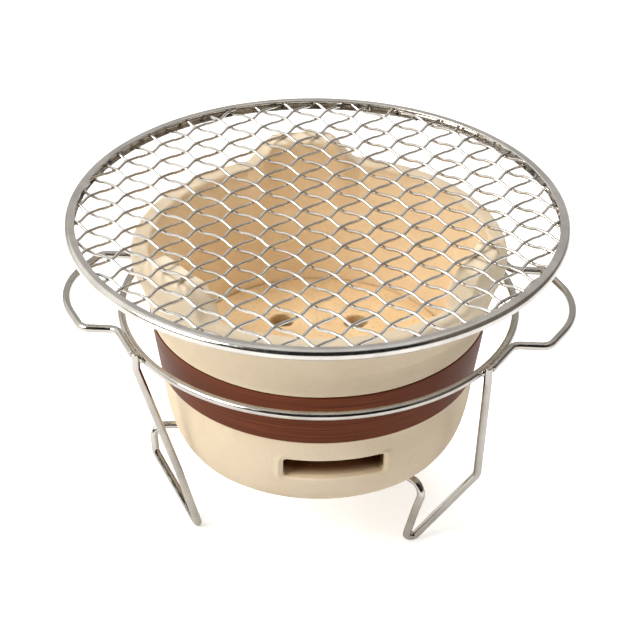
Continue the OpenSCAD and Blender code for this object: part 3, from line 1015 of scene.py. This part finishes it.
def build_floor():
    """A pale floor that keeps the shadow, lifted to white for the camera alone."""
    mesh = bpy.data.meshes.new("floor")
    s = FLOOR_HALF
    mesh.from_pydata([(-s, -s, 0), (s, -s, 0), (s, s, 0), (-s, s, 0)], [], [(0, 1, 2, 3)])
    floor = bpy.data.objects.new("floor", mesh)
    bpy.context.scene.collection.objects.link(floor)
    p = Paint("white_floor")
    p.set(Base_Color=(FLOOR_SHADE, FLOOR_SHADE, FLOOR_SHADE, 1.0), Roughness=0.9,
          Specular_IOR_Level=0.1)
    path = p.tree.nodes.new("ShaderNodeLightPath")
    p.set(Emission_Color=(1.0, 1.0, 1.0, 1.0))
    lift = p.math("MULTIPLY", path.outputs["Is Camera Ray"], FLOOR_LIFT)
    p.link(lift, p.shader.inputs["Emission Strength"])
    mesh.materials.append(p.material)


# What the bright wire reflects, laid over each other: direction, angles at which each is full
# and gone, and colour.
STUDIO_BASE = (0.26, 0.245, 0.23)
STUDIO_AREAS = (
    ((0, 0.80, 0.60), 34, 56, (0.62, 0.60, 0.57)),
    ((0, 0, 1), 22, 44, (0.90, 0.89, 0.87)),
    ((-1, 0.25, 0.60), 26, 40, (1.25, 1.22, 1.16)),
    ((1, -0.1, 0.25), 34, 50, (0.20, 0.175, 0.15)),
    ((0.05, -1, 0.42), 44, 52, (0.02, 0.02, 0.02)),
    ((-0.75, -0.66, 0.12), 28, 36, (0.03, 0.03, 0.03)),
)


def build_world():
    """White for the camera. Everything else sees the studio of pale and dark areas."""
    world = bpy.data.worlds.new("studio")
    world.use_nodes = True
    bpy.context.scene.world = world
    tree = world.node_tree
    tree.nodes.clear()
    out = tree.nodes.new("ShaderNodeOutputWorld")
    where = tree.nodes.new("ShaderNodeTexCoord").outputs["Generated"]

    def lobe(direction, near, far):
        dot = tree.nodes.new("ShaderNodeVectorMath")
        dot.operation = "DOT_PRODUCT"
        dot.inputs[1].default_value = Vector(direction).normalized()
        tree.links.new(where, dot.inputs[0])
        span = tree.nodes.new("ShaderNodeMapRange")
        span.interpolation_type = "SMOOTHSTEP"
        span.inputs["From Min"].default_value = math.cos(math.radians(far))
        span.inputs["From Max"].default_value = math.cos(math.radians(near))
        tree.links.new(dot.outputs["Value"], span.inputs["Value"])
        return span.outputs[0]

    def over(below, fac, color):
        mix = tree.nodes.new("ShaderNodeMix")
        mix.data_type = "RGBA"
        tree.links.new(fac, mix.inputs[0])
        if isinstance(below, tuple):
            mix.inputs[6].default_value = (*below, 1.0)
        else:
            tree.links.new(below, mix.inputs[6])
        mix.inputs[7].default_value = (*color, 1.0)
        return mix.outputs[2]

    color = STUDIO_BASE
    for direction, near, far, tint in STUDIO_AREAS:
        color = over(color, lobe(direction, near, far), tint)
    studio = tree.nodes.new("ShaderNodeBackground")
    tree.links.new(color, studio.inputs[0])
    white = tree.nodes.new("ShaderNodeBackground")
    white.inputs[0].default_value = (1, 1, 1, 1)
    path = tree.nodes.new("ShaderNodeLightPath")
    mix = tree.nodes.new("ShaderNodeMixShader")
    tree.links.new(path.outputs["Is Camera Ray"], mix.inputs[0])
    tree.links.new(studio.outputs[0], mix.inputs[1])
    tree.links.new(white.outputs[0], mix.inputs[2])
    tree.links.new(mix.outputs[0], out.inputs[0])


def add_light(name, place, aim, size, power, color, glints=True):
    """A soft area lamp. Without glints the bright wire doesn't mirror it."""
    data = bpy.data.lights.new(name, "AREA")
    data.shape = "RECTANGLE"
    data.size, data.size_y = size
    data.energy = power
    data.color = color
    light = bpy.data.objects.new(name, data)
    light.location = place
    light.rotation_euler = (Vector(aim) - Vector(place)).to_track_quat("-Z", "Y").to_euler()
    light.visible_glossy = glints
    bpy.context.scene.collection.objects.link(light)


# The photograph's camera, fitted to the net.
CAMERA_PLACE = (0.04825, -0.9054, 0.6913)
CAMERA_RISE = 32.93
CAMERA_ROLL = -0.65
CAMERA_TURN = 3.0
CAMERA_LENS = 123.75


def add_camera():
    rise, roll, turn = (math.radians(a) for a in (CAMERA_RISE, CAMERA_ROLL, CAMERA_TURN))
    right = Vector((1, 0, 0))
    back = Vector((0, -math.cos(rise), math.sin(rise)))
    up = back.cross(right)
    c, s = math.cos(roll), math.sin(roll)
    right, up = right * c - up * s, right * s + up * c
    spin = Matrix.Rotation(turn, 3, "Z")
    right, up, back = spin @ right, spin @ up, spin @ back
    data = bpy.data.cameras.new("camera")
    data.lens = CAMERA_LENS
    data.sensor_width = 36.0
    camera = bpy.data.objects.new("camera", data)
    place = Matrix((right, up, back)).transposed().to_4x4()
    place.translation = CAMERA_PLACE
    camera.matrix_world = place
    bpy.context.scene.collection.objects.link(camera)
    bpy.context.scene.camera = camera


build_floor()
build_world()
add_light("key", place=(-1.5, -0.9, 1.25), aim=(0, 0, 0.08), size=(1.1, 1.1), power=42.0,
          color=(1.0, 0.96, 0.90))
add_light("top", place=(0.1, 0.5, 1.9), aim=(0, 0, 0.1), size=(1.4, 1.0), power=26.0,
          color=(1.0, 1.0, 1.0), glints=False)
add_light("fill", place=(1.5, -1.0, 0.8), aim=(0, 0, 0.08), size=(0.8, 0.8), power=7.0,
          color=(0.98, 0.98, 1.0), glints=False)
add_camera()
bpy.context.scene.view_settings.view_transform = "Standard"
